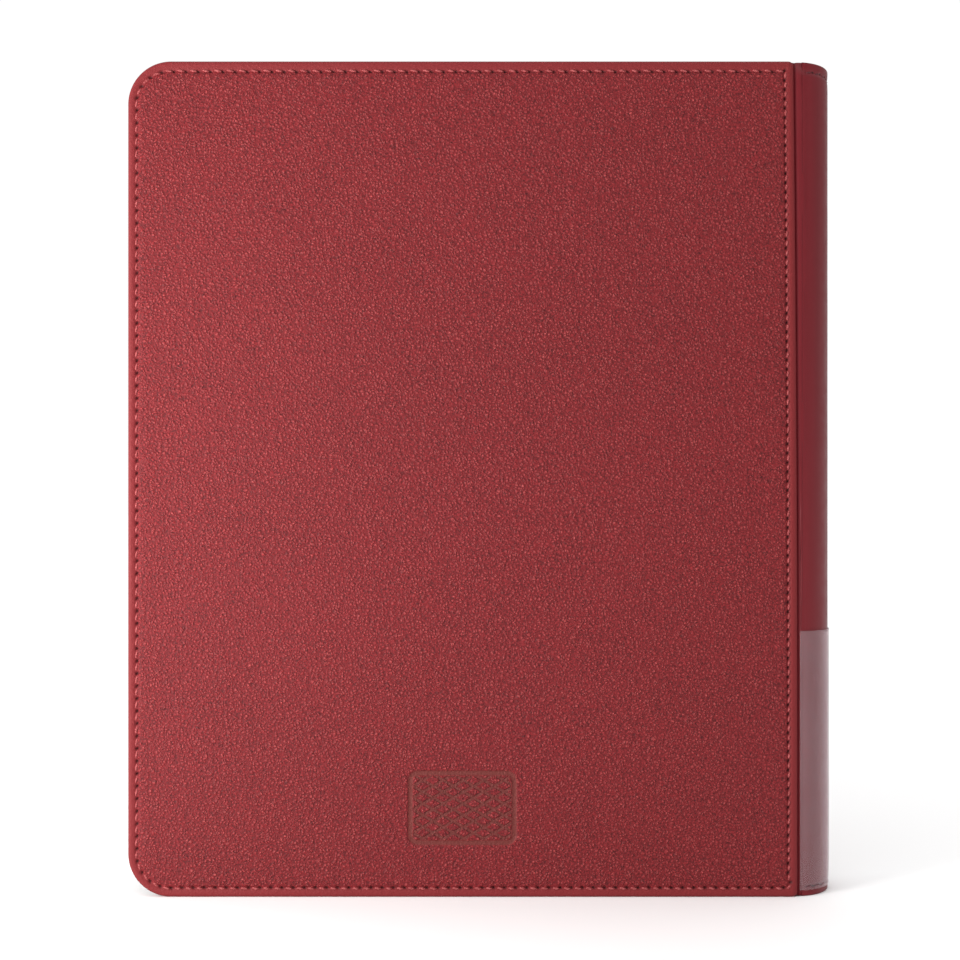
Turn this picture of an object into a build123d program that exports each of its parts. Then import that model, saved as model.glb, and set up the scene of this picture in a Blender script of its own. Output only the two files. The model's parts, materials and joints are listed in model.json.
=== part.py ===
"""Trading card binder: two sewn leatherette covers on a rounded spine, and 20 fixed side-loading pages.

Millimetres. The binder stands closed on its lower edge: +Z runs up the height, +X from the fore edge to
the spine, the back cover faces -Y and the front cover faces +Y. The origin is at the middle of the
bounding box's underside. Each cover swings about its leather hinge beside the spine, and each page about
the crease where its sheet leaves the riveted binding.
"""

from build123d import *
from math import sqrt
import os

os.makedirs("parts", exist_ok=True)

# ---------------------------------------------------------------- driving dimensions
cover_height = 330.0  # covers and spine
cover_width = 264.0  # fore edge to the cover's hinge-side edge
closed_thickness = 40.0  # outer face to outer face of the closed covers
spine_bulge = 17.0  # how far the rounded spine stands out past the covers, film included

# covers
panel_thickness = 1.4  # padded grained leatherette on the outer face
board_thickness = 1.8
lining_thickness = 0.6
rim_width = 1.5  # leatherette turned over the board's edges
fore_corner_radius = 17.0
hinge_corner_radius = 2.0
panel_edge_radius = 1.0
fit_gap = 0.05  # between a sheet and what it is tucked into

# stitching
stitch_inset = 3.4  # seam to the cover's edge
seam_corner_radius = 1.2  # seam's turn at the hinge-side corners
thread_width = 0.8
thread_height = 0.4
stitch_groove_margin = 0.1  # groove wider than the thread, each side
thread_below_face = 0.05
bobbin_thread_height = 0.25

# leather hinge between cover and spine
hinge_leather_thickness = 1.0
hinge_offset = 1.4  # cover's edge to the hinge line
hinge_clearance = 0.45
flap_tuck = 12.0  # hinge leather glued in under the panel

# spine
spine_leather_thickness = 1.0
spine_board_thickness = 1.0
spine_lining_thickness = 0.4
spine_end_turn = 1.0  # leather turned in over the ends of the spine board
spine_end_radius = 0.35
spine_stitch_inset = 3.9  # spine seam to the spine's end

# clear label pocket on the spine
film_thickness = 0.3
film_gap = 0.3
film_bottom = 2.4
film_top = 105.0
film_seam = 3.0  # sewn strip at the pocket's foot
film_side_seam = 1.2

# pages
pages_per_cover = 10  # pages on each side of the middle opening
page_end_inset = 13.0  # cover's edge to the page's, at head and foot
page_fore_inset = 8.1
page_clearance = 0.2  # between neighbouring pages
sheet_thickness = 0.3
pocket_film_thickness = 0.2
pocket_rows = 3
pocket_columns = 3
row_weld = 4.0
column_weld = 3.0
column_gap = 1.0
binding_margin = 23.0  # page hinge to the first pocket's mouth
outer_margin = 1.9
page_corner_radius = 1.8
page_hinge_to_cover_edge = 8.5

# binding
crease_clearance = 0.3  # page sheet's rounded end to the riveted margin
stack_clearance = 0.6  # between the riveted stack's corner and the spine lining
plate_clearance = 0.3
plate_thickness = 0.9
plate_corner_clearance = 0.1
tape_thickness = 0.6
tape_wing = 6.0  # tape glued to the spine lining, measured along Y
rivet_count = 6
rivet_radius = 2.0
rivet_head_radius = 3.2
rivet_head_height = 0.5
rivet_clearance = 0.05

# ---------------------------------------------------------------- places worked out from them
page_count = 2 * pages_per_cover
half_thickness = closed_thickness / 2
fore_x = -(cover_width + spine_bulge) / 2
cover_edge_x = fore_x + cover_width
board_outer_depth = half_thickness - panel_thickness
board_inner_depth = board_outer_depth - board_thickness
lining_inner_depth = board_inner_depth - lining_thickness

hinge_x = cover_edge_x + hinge_offset
hinge_depth = board_outer_depth - fit_gap - hinge_leather_thickness / 2
spine_start_x = hinge_x + hinge_leather_thickness / 2 + hinge_clearance

film_build = film_gap + film_thickness
spine_a = spine_bulge - film_build  # half-ellipse of the spine leather's outer face
spine_b = board_outer_depth
lining_a = spine_a - spine_leather_thickness - spine_board_thickness
lining_b = spine_b - spine_leather_thickness - spine_board_thickness
hollow_a = lining_a - spine_lining_thickness
hollow_b = lining_b - spine_lining_thickness

page_bottom = page_end_inset
page_height = cover_height - 2 * page_end_inset
pocket_height = (page_height - (pocket_rows + 1) * row_weld) / pocket_rows
page_hinge_x = cover_edge_x - page_hinge_to_cover_edge
page_fore_x = fore_x + page_fore_inset
page_width = page_hinge_x - page_fore_x
column_pitch = (page_width - binding_margin - outer_margin + column_gap) / pocket_columns
film_width = column_pitch - column_gap
pocket_width = film_width - column_weld

plate_outer_depth = min(lining_inner_depth, hollow_b) - plate_clearance
stack_depth = plate_outer_depth - plate_thickness
page_pitch = 2 * stack_depth / page_count
pocket_gap = (page_pitch - page_clearance - sheet_thickness) / 2 - pocket_film_thickness


def page_depth(number):
    """Y of a page's sheet: page 1 lies under the front cover, the last one under the back cover."""
    return stack_depth - (number - 0.5) * page_pitch


def hollow_reach(depth):
    """X at which the hollow inside the rounded spine is that deep, either side of the middle."""
    return cover_edge_x + hollow_a * sqrt(1 - (depth / hollow_b) ** 2)


def write(builder, node):
    """Labels a finished piece and writes its STEP."""
    builder.part.label = node
    export_step(builder.part, f"parts/{node}.step")


def cover_outline(rim_inset, hinge_inset, hinge_radius=hinge_corner_radius):
    """Cover-shaped sketch, X by height, inset from three edges and from the hinge-side edge."""
    width = cover_width - rim_inset - hinge_inset
    height = cover_height - 2 * rim_inset
    with BuildSketch() as outline:
        with Locations((fore_x + rim_inset, rim_inset)):
            Rectangle(width, height, align=(Align.MIN, Align.MIN))
        fillet(outline.vertices().group_by(Axis.X)[0], fore_corner_radius - rim_inset)
        fillet(outline.vertices().group_by(Axis.X)[-1], hinge_radius)
    return outline.sketch


def seam_ring(half_width):
    """Sketch of the ring that a cover's seam covers, with that half-width either side of it."""
    with BuildSketch() as ring:
        outside = stitch_inset - half_width
        inside = stitch_inset + half_width
        add(cover_outline(outside, outside, seam_corner_radius + half_width))
        add(cover_outline(inside, inside, seam_corner_radius - half_width), mode=Mode.SUBTRACT)
    return ring.sketch


def rivet_rows():
    """Rivet centres on the XZ plane."""
    spacing = page_height / rivet_count
    return [(rivet_x, page_bottom + (i + 0.5) * spacing) for i in range(rivet_count)]


def spine_arc_sketch(outer, inner, start_x):
    """Half-ring between two ellipses (a, b) centred on the covers' hinge-side edge, cut off at start_x."""
    with BuildSketch() as ring:
        with Locations((cover_edge_x, 0)):
            Ellipse(*outer)
            Ellipse(*inner, mode=Mode.SUBTRACT)
        with Locations((start_x, 0)):
            Rectangle(2 * outer[0], 2 * outer[1] + 1, align=(Align.MIN, Align.CENTER), mode=Mode.INTERSECT)
    return ring.sketch


margin_x = page_hinge_x + sheet_thickness / 2 + crease_clearance
margin_end_x = hollow_reach(stack_depth + stack_clearance)
margin_width = margin_end_x - margin_x
plate_width = hollow_reach(plate_outer_depth + plate_corner_clearance) - margin_x
rivet_x = margin_x + plate_width / 2

# ---------------------------------------------------------------- back cover, and its mirror image in front
groove_half = thread_width / 2 + stitch_groove_margin
groove_depth = thread_below_face + thread_height

# Outer skin: a padded panel whose edge is turned over the board like a shallow tray.
with BuildPart() as cover_skin:
    with BuildSketch(Plane.XZ.offset(half_thickness)):
        add(cover_outline(0, 0))
    extrude(amount=-(half_thickness - lining_inner_depth))
    fillet(cover_skin.faces().sort_by(Axis.Y)[0].edges(), panel_edge_radius)
    with BuildSketch(Plane.XZ.offset(board_outer_depth)):
        add(cover_outline(rim_width, -hinge_corner_radius))
    extrude(amount=-(board_outer_depth - lining_inner_depth), mode=Mode.SUBTRACT)
    with BuildSketch(Plane.XZ.offset(half_thickness)):
        add(seam_ring(groove_half))
    extrude(amount=-groove_depth, mode=Mode.SUBTRACT)

# Stiff board, skived along the hinge side where the hinge leather is glued on.
with BuildPart() as cover_board:
    with BuildSketch(Plane.XZ.offset(board_outer_depth)):
        add(cover_outline(rim_width + fit_gap, 0))
    extrude(amount=-board_thickness)
    with Locations((cover_edge_x, -board_outer_depth, cover_height / 2)):
        Box(2 * flap_tuck, 2 * (hinge_leather_thickness + fit_gap), cover_height, mode=Mode.SUBTRACT)

# Lining, with the bobbin thread's groove along the same seam.
with BuildPart() as cover_lining:
    with BuildSketch(Plane.XZ.offset(board_inner_depth)):
        add(cover_outline(rim_width + fit_gap, 0))
    extrude(amount=-lining_thickness)
    with BuildSketch(Plane.XZ.offset(lining_inner_depth)):
        add(seam_ring(groove_half))
    extrude(amount=thread_below_face + bobbin_thread_height, mode=Mode.SUBTRACT)

# Seam thread: the top run on the panel and the bobbin run on the lining.
with BuildPart() as cover_thread:
    with BuildSketch(Plane.XZ.offset(half_thickness - thread_below_face)):
        add(seam_ring(thread_width / 2))
    extrude(amount=-thread_height)
    with BuildSketch(Plane.XZ.offset(lining_inner_depth + thread_below_face)):
        add(seam_ring(thread_width / 2))
    extrude(amount=bobbin_thread_height)

# Hinge leather: a tongue glued under the panel, and the strip that runs out to the hinge line.
with BuildPart() as hinge_flap:
    with BuildSketch(Plane.XY.offset(rim_width + fit_gap)):
        with Locations((cover_edge_x - flap_tuck, -hinge_depth)):
            Rectangle(flap_tuck, hinge_leather_thickness, align=(Align.MIN, Align.CENTER))
    extrude(amount=cover_height - 2 * (rim_width + fit_gap))
    with BuildSketch(Plane.XY):
        with Locations((cover_edge_x, -hinge_depth)):
            Rectangle(hinge_offset, hinge_leather_thickness, align=(Align.MIN, Align.CENTER))
        with Locations((hinge_x, -hinge_depth)):
            Circle(hinge_leather_thickness / 2)
    extrude(amount=cover_height)

for piece, name in (
    (cover_skin, "cover_skin"),
    (cover_board, "cover_board"),
    (cover_lining, "cover_lining"),
    (cover_thread, "cover_thread"),
    (hinge_flap, "hinge_flap"),
):
    write(piece, f"back_{name}")
    with BuildPart() as front_piece:
        add(mirror(piece.part, about=Plane.XZ, mode=Mode.PRIVATE))
    write(front_piece, f"front_{name}")

# ---------------------------------------------------------------- rounded spine
leather_outer = (spine_a, spine_b)
leather_inner = (spine_a - spine_leather_thickness, spine_b - spine_leather_thickness)
board_start_x = spine_start_x + fit_gap
spine_groove = thread_height + thread_below_face

with BuildPart() as spine_skin:
    add(spine_arc_sketch(leather_outer, leather_inner, spine_start_x))
    extrude(amount=cover_height)
    ends = spine_skin.faces().sort_by(Axis.Z)
    fillet([end.edges().sort_by(SortBy.LENGTH)[-1] for end in (ends[0], ends[-1])], spine_end_radius)
    with BuildSketch(Plane.XY.offset(cover_height - spine_stitch_inset - groove_half)):
        add(spine_arc_sketch(leather_outer, (spine_a - spine_groove, spine_b - spine_groove), spine_start_x))
    extrude(amount=2 * groove_half, mode=Mode.SUBTRACT)
write(spine_skin, "spine_skin")

with BuildPart() as spine_board:
    with BuildSketch(Plane.XY.offset(spine_end_turn)):
        add(spine_arc_sketch(leather_inner, (lining_a, lining_b), board_start_x))
    extrude(amount=cover_height - 2 * spine_end_turn)
write(spine_board, "spine_board")

with BuildPart() as spine_lining:
    with BuildSketch(Plane.XY.offset(spine_end_turn)):
        add(spine_arc_sketch((lining_a, lining_b), (hollow_a, hollow_b), board_start_x))
    extrude(amount=cover_height - 2 * spine_end_turn)
write(spine_lining, "spine_lining")

# Clear label pocket: a film that stands off the leather, sewn at the foot and down both sides, open above.
film_outer = (spine_a + film_build, spine_b + film_build)
film_inner = (spine_a + film_gap, spine_b + film_gap)
film_start_x = spine_start_x + fit_gap
foot_stitch_low = spine_stitch_inset - groove_half
with BuildPart() as label_window:
    with BuildSketch(Plane.XY.offset(film_bottom)):
        add(spine_arc_sketch(film_outer, film_inner, film_start_x))
    extrude(amount=film_top - film_bottom)
    with BuildSketch(Plane.XY.offset(film_bottom)):
        add(spine_arc_sketch(film_inner, leather_outer, film_start_x))
    extrude(amount=film_seam)
    with BuildSketch(Plane.XY.offset(film_bottom)) as side_seams:
        add(spine_arc_sketch(film_inner, leather_outer, film_start_x))
        with Locations((film_start_x + film_side_seam, 0)):
            Rectangle(2 * spine_a, 2 * film_inner[1] + 1, align=(Align.MIN, Align.CENTER), mode=Mode.SUBTRACT)
    extrude(amount=film_top - film_bottom)
    with BuildSketch(Plane.XY.offset(foot_stitch_low)):
        add(
            spine_arc_sketch(
                film_outer,
                (film_outer[0] - spine_groove, film_outer[1] - spine_groove),
                film_start_x,
            )
        )
    extrude(amount=2 * groove_half, mode=Mode.SUBTRACT)
write(label_window, "label_window")

# Seam thread across the spine: over the leather at the head, over the film's foot at the tail.
with BuildPart() as spine_thread:
    for low, outer in (
        (cover_height - spine_stitch_inset - thread_width / 2, leather_outer),
        (spine_stitch_inset - thread_width / 2, film_outer),
    ):
        top_a, top_b = (size - thread_below_face for size in outer)
        with BuildSketch(Plane.XY.offset(low)):
            add(
                spine_arc_sketch(
                    (top_a, top_b), (top_a - thread_height, top_b - thread_height), film_start_x
                )
            )
        extrude(amount=thread_width)
write(spine_thread, "spine_thread")

# ---------------------------------------------------------------- riveted binding
# Sheet margins: the bound edge of each page's sheet, beyond its crease.
with BuildPart() as page_margins:
    for number in range(1, page_count + 1):
        with BuildSketch(Plane.XZ.offset(-page_depth(number) - sheet_thickness / 2)):
            with Locations((margin_x, page_bottom)):
                Rectangle(margin_width, page_height, align=(Align.MIN, Align.MIN))
            with Locations(*rivet_rows()):
                Circle(rivet_radius + rivet_clearance, mode=Mode.SUBTRACT)
        extrude(amount=sheet_thickness)
write(page_margins, "page_margins")

# Spacer strips keep the margins a loaded page's thickness apart.
spacer_edges = [stack_depth]
for number in range(1, page_count + 1):
    spacer_edges += [page_depth(number) + sheet_thickness / 2, page_depth(number) - sheet_thickness / 2]
spacer_edges.append(-stack_depth)
with BuildPart() as margin_spacers:
    for high, low in zip(spacer_edges[::2], spacer_edges[1::2]):
        with BuildSketch(Plane.XZ.offset(-high)):
            with Locations((margin_x, page_bottom)):
                Rectangle(margin_width, page_height, align=(Align.MIN, Align.MIN))
            with Locations(*rivet_rows()):
                Circle(rivet_radius + rivet_clearance, mode=Mode.SUBTRACT)
        extrude(amount=high - low)
write(margin_spacers, "margin_spacers")

with BuildPart() as binding_plates:
    with BuildSketch(Plane.XZ.offset(stack_depth)):
        with Locations((margin_x, page_bottom)):
            Rectangle(plate_width, page_height, align=(Align.MIN, Align.MIN))
        with Locations(*rivet_rows()):
            Circle(rivet_radius + rivet_clearance, mode=Mode.SUBTRACT)
    extrude(amount=plate_thickness)
    with BuildSketch(Plane.XZ.offset(plate_outer_depth)):
        with Locations(*rivet_rows()):
            Circle(rivet_head_radius + rivet_clearance)
    extrude(amount=-rivet_head_height, mode=Mode.SUBTRACT)
    mirror(about=Plane.XZ)
write(binding_plates, "binding_plates")

with BuildPart() as binding_rivets:
    with BuildSketch(Plane.XZ):
        with Locations(*rivet_rows()):
            Circle(rivet_radius)
    extrude(amount=plate_outer_depth - rivet_head_height, both=True)
    with BuildSketch(Plane.XZ.offset(plate_outer_depth)):
        with Locations(*rivet_rows()):
            Circle(rivet_head_radius)
    extrude(amount=-rivet_head_height)
    with BuildSketch(Plane.XZ.offset(-plate_outer_depth)):
        with Locations(*rivet_rows()):
            Circle(rivet_head_radius)
    extrude(amount=rivet_head_height)
write(binding_rivets, "binding_rivets")

# Tape across the back of the stack, its two wings glued inside the rounded spine.
wing_outer = (hollow_a, hollow_b)
wing_inner = (hollow_a - tape_thickness, hollow_b - tape_thickness)
wall_reach = hollow_b * sqrt(1 - ((margin_end_x + tape_thickness - cover_edge_x) / hollow_a) ** 2)
with BuildPart() as binding_tape:
    with BuildSketch(Plane.XY.offset(page_bottom)):
        with Locations((margin_end_x, 0)):
            Rectangle(tape_thickness, 2 * wall_reach, align=(Align.MIN, Align.CENTER))
        add(spine_arc_sketch(wing_outer, wing_inner, margin_end_x))
        with Locations((margin_end_x + tape_thickness, 0)):
            Rectangle(
                spine_bulge,
                2 * (wall_reach - tape_wing),
                align=(Align.MIN, Align.CENTER),
                mode=Mode.SUBTRACT,
            )
    extrude(amount=page_height)
write(binding_tape, "binding_tape")

# ---------------------------------------------------------------- pages
for number in range(1, page_count + 1):
    depth = -page_depth(number)
    node = f"page_{number:02d}"

    # Opaque sheet, with a rounded edge on its crease.
    with BuildPart() as sheet:
        with BuildSketch(Plane.XZ.offset(depth - sheet_thickness / 2)) as sheet_outline:
            with Locations((page_fore_x, page_bottom)):
                Rectangle(page_width, page_height, align=(Align.MIN, Align.MIN))
            fillet(sheet_outline.vertices().group_by(Axis.X)[0], page_corner_radius)
        extrude(amount=sheet_thickness)
        with Locations((page_hinge_x, -depth, page_bottom)):
            Cylinder(sheet_thickness / 2, page_height, align=(Align.CENTER, Align.CENTER, Align.MIN))
    write(sheet, f"{node}_sheet")

    # Clear pocket films, three columns on each face: welded above, below and along the fore-edge side,
    # and open towards the spine.
    with BuildPart() as pockets:
        for side in (-1, 1):
            sheet_face = depth + side * sheet_thickness / 2
            film_face = sheet_face + side * pocket_gap
            mouths = [
                (page_hinge_x - binding_margin - i * column_pitch, page_bottom)
                for i in range(pocket_columns)
            ]
            with BuildSketch(Plane.XZ.offset(film_face)):
                with Locations(*mouths):
                    Rectangle(film_width, page_height, align=(Align.MAX, Align.MIN))
            extrude(amount=side * pocket_film_thickness)
            with BuildSketch(Plane.XZ.offset(sheet_face)):
                with Locations(*mouths):
                    Rectangle(film_width, page_height, align=(Align.MAX, Align.MIN))
                for row in range(pocket_rows):
                    low_z = page_bottom + row_weld + row * (pocket_height + row_weld)
                    with Locations(*[(x, low_z) for x, _ in mouths]):
                        Rectangle(
                            pocket_width,
                            pocket_height,
                            align=(Align.MAX, Align.MIN),
                            mode=Mode.SUBTRACT,
                        )
            extrude(amount=side * pocket_gap)
    write(pockets, f"{node}_pockets")
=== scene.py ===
import json
import math
import random

import bpy
import numpy as np
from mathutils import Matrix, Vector
from mathutils.geometry import delaunay_2d_cdt

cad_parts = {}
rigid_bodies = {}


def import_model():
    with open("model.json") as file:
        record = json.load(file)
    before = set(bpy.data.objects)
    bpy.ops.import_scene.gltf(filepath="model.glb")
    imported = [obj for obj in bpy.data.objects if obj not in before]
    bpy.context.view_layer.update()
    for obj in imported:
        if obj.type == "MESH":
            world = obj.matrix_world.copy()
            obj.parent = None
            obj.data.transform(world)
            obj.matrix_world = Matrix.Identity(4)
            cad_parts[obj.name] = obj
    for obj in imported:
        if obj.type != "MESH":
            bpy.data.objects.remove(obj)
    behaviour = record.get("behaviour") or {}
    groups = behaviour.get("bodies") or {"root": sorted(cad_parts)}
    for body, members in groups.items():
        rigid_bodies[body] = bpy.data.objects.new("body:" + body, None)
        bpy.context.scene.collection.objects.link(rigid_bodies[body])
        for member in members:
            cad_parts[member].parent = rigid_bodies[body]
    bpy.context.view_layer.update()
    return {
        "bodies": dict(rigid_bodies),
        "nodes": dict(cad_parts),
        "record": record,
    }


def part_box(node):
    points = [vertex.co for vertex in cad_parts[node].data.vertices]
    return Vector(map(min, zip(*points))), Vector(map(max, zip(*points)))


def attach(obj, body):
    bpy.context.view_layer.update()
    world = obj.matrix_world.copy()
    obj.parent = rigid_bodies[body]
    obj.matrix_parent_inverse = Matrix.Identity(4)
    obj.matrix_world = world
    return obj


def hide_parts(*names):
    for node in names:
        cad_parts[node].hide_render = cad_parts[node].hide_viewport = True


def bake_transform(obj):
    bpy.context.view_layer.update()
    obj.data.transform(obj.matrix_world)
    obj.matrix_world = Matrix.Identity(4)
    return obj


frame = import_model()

MM = 0.001
nodes = frame["nodes"]
rng = random.Random(7)


def box_mm(node):
    """A CAD node's lowest and highest corners in millimetres."""
    lo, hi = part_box(node)
    return np.array(lo) / MM, np.array(hi) / MM


# ---------------------------------------------------------------- places read from the frame
skin_lo, skin_hi = box_mm("back_cover_skin")
lining_inner_y = box_mm("back_cover_lining")[1][1]
thread_lo = box_mm("back_cover_thread")[0]
flap_lo, flap_hi = box_mm("back_hinge_flap")
spine_lo, spine_hi = box_mm("spine_skin")
label_lo, label_hi = box_mm("label_window")
spine_thread_lo, spine_thread_hi = box_mm("spine_thread")
stack_x = box_mm("margin_spacers")[0][0]
pocket_lo, pocket_hi = box_mm("page_01_pockets")

half_thread = 0.4
half_hinge_leather = 0.5
panel_thickness = 1.4
row_weld, column_weld, column_gap = 4, 3, 1

edge_x = skin_hi[0]
height = skin_hi[2]
half_thickness = -skin_lo[1]
hinge_x = flap_hi[0] - half_hinge_leather
hinge_y = -(flap_lo[1] + flap_hi[1]) / 2
seam_inset = thread_lo[0] - skin_lo[0] + half_thread
spine_seam_inset = height - spine_thread_hi[2] + half_thread
spine_a = spine_hi[0] - edge_x
spine_b = half_thickness - panel_thickness
fore_radius, hinge_radius = 17.0, 2.0
film_start = hinge_x + 0.1
pocket_row_pitch = (pocket_hi[2] - pocket_lo[2] - row_weld) / 3
pocket_column_pitch = (pocket_hi[0] - pocket_lo[0] + column_gap) / 3

# ---------------------------------------------------------------- choices the frame doesn't hold
spine_pitch = 4.4
side_pitch = {"left": 4.94, "top": 4.84, "foot": 4.39, "hinge": 3.68}
top_seam_drop = 0.5  # the seam runs a little lower along the head
head_z = height - 8  # the head's seam lies above this
stitch_tilt = math.radians(13)  # each stitch lies at a slant to the seam's line
hole_tilt = math.radians(28)
mark_lo = np.array([-29.0, 21.5])  # corners of the debossed frame, low on the back cover
mark_hi = np.array([12.0, 49.0])
mark_radius = 3.0
face_inset = 12.4  # the panel's rings end here, and its flat face begins
spine_columns = 133  # points round the spine's half-ellipse


# ---------------------------------------------------------------- mesh helpers
def new_object(name, verts, faces, materials, smooth=True, attributes=None, face_slots=None):
    """Mesh object from millimetre points. attributes maps a name to one value per point."""
    mesh = bpy.data.meshes.new(name)
    mesh.from_pydata((np.asarray(verts, float) * MM).tolist(), [], [list(map(int, f)) for f in faces])
    for material in materials:
        mesh.materials.append(material)
    if face_slots is not None:
        mesh.polygons.foreach_set("material_index", np.asarray(face_slots, np.int32))
    mesh.polygons.foreach_set("use_smooth", [smooth] * len(mesh.polygons))
    for key, values in (attributes or {}).items():
        layer = mesh.attributes.new(key, "FLOAT", "POINT")
        layer.data.foreach_set("value", np.asarray(values, np.float32))
    mesh.update()
    obj = bpy.data.objects.new(name, mesh)
    bpy.context.scene.collection.objects.link(obj)
    return obj


def grid_faces(rows, columns, close_rows=False, close_columns=False, start=0):
    """Quads of a row-by-column grid of points, stored row by row."""
    faces = []
    for i in range(rows if close_rows else rows - 1):
        i2 = (i + 1) % rows
        for j in range(columns if close_columns else columns - 1):
            j2 = (j + 1) % columns
            faces.append((start + i * columns + j, start + i * columns + j2,
                          start + i2 * columns + j2, start + i2 * columns + j))
    return faces


def mirrored(verts, faces):
    """The same mesh on the front side: y changes sign and the faces turn over."""
    out = np.array(verts, float)
    out[:, 1] *= -1
    return out, [tuple(reversed(f)) for f in faces]


def smooth_noise(x, z, seed, scale):
    """Slow, repeatable waviness, about -1 to 1."""
    r = np.random.RandomState(seed)
    total = 0
    for _ in range(5):
        kx, kz = r.uniform(-1, 1, 2) / scale * 2 * math.pi
        total = total + np.sin(kx * x + kz * z + r.uniform(0, 2 * math.pi))
    return total / 5


# ---------------------------------------------------------------- cover outline
def lean(x, z):
    """How far a point of the panel stands out of square: its hinge-side edge bends in towards the head."""
    bend = 0.42 - 2.3 * np.maximum(z / height - 0.15, 0) ** 2
    return bend * np.clip((x - edge_x + 60) / 60, 0, 1) ** 2


def outline(inset, corner_fore, corner_hinge, step=0.45):
    """Points on the cover's outline at an inset, with as many on each run at any inset. Returns x, z and the
    outward direction, and how much each point belongs to the hinge side (0 to 1)."""
    x0, x1 = skin_lo[0] + inset, edge_x - inset
    z0, z1 = inset, height - inset
    n_flat = int((edge_x - skin_lo[0]) / step)
    n_tall = int(height / step)
    n_fore, n_hinge = int(21 / step), 8
    pts, nrm, hinge = [], [], []

    def run(ax, az, bx, bz, n, nx, nz, h):
        for k in range(n):
            t = k / n
            pts.append((ax + (bx - ax) * t, az + (bz - az) * t))
            nrm.append((nx, nz))
            hinge.append(h)

    def arc(cx, cz, r, start, n, h0, h1):
        for k in range(n):
            t = k / n
            a = math.radians(start + 90 * t)
            pts.append((cx + r * math.cos(a), cz + r * math.sin(a)))
            nrm.append((math.cos(a), math.sin(a)))
            hinge.append(h0 + (h1 - h0) * t)

    f, h = corner_fore, corner_hinge
    run(x0 + f, z0, x1 - h, z0, n_flat, 0, -1, 0)
    arc(x1 - h, z0 + h, h, -90, n_hinge, 0, 1)
    run(x1, z0 + h, x1, z1 - h, n_tall, 1, 0, 1)
    arc(x1 - h, z1 - h, h, 0, n_hinge, 1, 0)
    run(x1 - h, z1, x0 + f, z1, n_flat, 0, 1, 0)
    arc(x0 + f, z1 - f, f, 90, n_fore, 0, 0)
    run(x0, z1 - f, x0, z0 + f, n_tall, -1, 0, 0)
    arc(x0 + f, z0 + f, f, 180, n_fore, 0, 0)
    return np.array(pts), np.array(nrm), np.array(hinge)


def seam_path():
    """Stitch centres along a cover's seam, each with the seam's direction, outward normal and pitch there.
    The feed differs from side to side, so the pitch does too."""
    pts, nrm, _ = outline(seam_inset, fore_radius - seam_inset, 1.2, step=0.2)
    weights = np.maximum(np.column_stack([-nrm[:, 0], nrm[:, 0], nrm[:, 1], -nrm[:, 1]]), 0) ** 2
    pts[:, 1] -= top_seam_drop * weights[:, 2]
    closed = np.vstack([pts, pts[:1]])
    run = np.linalg.norm(np.diff(closed, axis=0), axis=1)
    pitch = weights @ np.array([side_pitch[k] for k in ("left", "hinge", "top", "foot")])
    length = np.concatenate([[0], np.cumsum(run)])
    turns = np.concatenate([[0], np.cumsum(run / pitch)])
    count = round(turns[-1])
    at = np.interp((np.arange(count) + 0.5) * turns[-1] / count, turns, length)
    idx = np.clip(np.searchsorted(length, at) - 1, 0, len(pts) - 1)
    mid = np.stack([np.interp(at, length, closed[:, k]) for k in (0, 1)], axis=1)
    normal = nrm[idx]
    along = np.stack([-normal[:, 1], normal[:, 0]], axis=1)
    return mid, along, normal, pitch[idx]


stitch_mid, stitch_along, stitch_out, stitch_step = seam_path()
hole_points = stitch_mid + stitch_along * stitch_step[:, None] / 2 - stitch_out * 0.3
hole_along = stitch_along * math.cos(hole_tilt) + stitch_out * math.sin(hole_tilt)


def hole_mask(x, z):
    """Mask of a cover's seam's needle holes, for many points: 1 at each, fading to 0 around it. It presses
    the holes in and marks the shade painted into them.
    """
    mask = np.zeros(len(x))
    reach, half_length, half_width = 2.2, 0.72, 0.44
    order = np.argsort(z)
    zs = z[order]
    for (cx, cz), (ax, az) in zip(hole_points, hole_along):
        lo, hi = np.searchsorted(zs, [cz - reach, cz + reach])
        idx = order[lo:hi]
        dx, dz = x[idx] - cx, z[idx] - cz
        u, v = dx * ax + dz * az, -dx * az + dz * ax
        mask[idx] = np.maximum(mask[idx], np.exp(-((u / half_length) ** 2 + (v / half_width) ** 2)))
    return mask


def mark_distance(x, z):
    """Distance to the debossed frame's line."""
    centre, half = (mark_lo + mark_hi) / 2, (mark_hi - mark_lo) / 2 - mark_radius
    dx, dz = np.abs(x - centre[0]) - half[0], np.abs(z - centre[1]) - half[1]
    outside = np.hypot(np.maximum(dx, 0), np.maximum(dz, 0))
    return np.abs(outside + np.minimum(np.maximum(dx, dz), 0) - mark_radius)


def panel_rings():
    """Rings of the panel from behind the rim, round its edge and in over its face, and how many the rim has.
    Each ring is its points' x and z, their depth behind the outer face, how much each belongs to the hinge
    side, and the ring's inset."""
    rim = [(1.5, 3.55), (1.35, 3.72), (0.9, 3.8), (0.45, 3.72), (0.14, 3.45), (0.0, 3.0), (0.0, 2.4),
           (0.0, 1.9), (0.0, 1.45)]
    insets = [0.0, 0.03, 0.1, 0.22, 0.4, 0.62, 0.88, 1.15, 1.45, 1.75, 2.05, 2.35, 2.6, 2.85, 3.05, 3.25,
              3.45, 3.65, 3.85, 4.1, 4.35, 4.65, 5.0, 5.5, 6.2, 7.2, 8.6, 10.4, face_inset]
    rings = []
    for inset, depth in rim:
        pts, _, h = outline(inset, fore_radius - inset, max(hinge_radius - inset, 0.5))
        lip = 1.0 + (depth - 1.45) * 0.3
        rings.append((pts, depth * (1 - h) + lip * h, h, inset))
    for inset in insets:
        pts, _, h = outline(inset, fore_radius - inset, max(hinge_radius - inset, 0.5))
        round_x = 1.5 + 1.3 * h
        t = np.clip(1 - inset / round_x, 0, 1)
        depth = 1.3 * (1 - np.sqrt(1 - t ** 2 * 0.98))
        rings.append((pts, depth, h, inset))
    return rings, len(rim)


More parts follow.
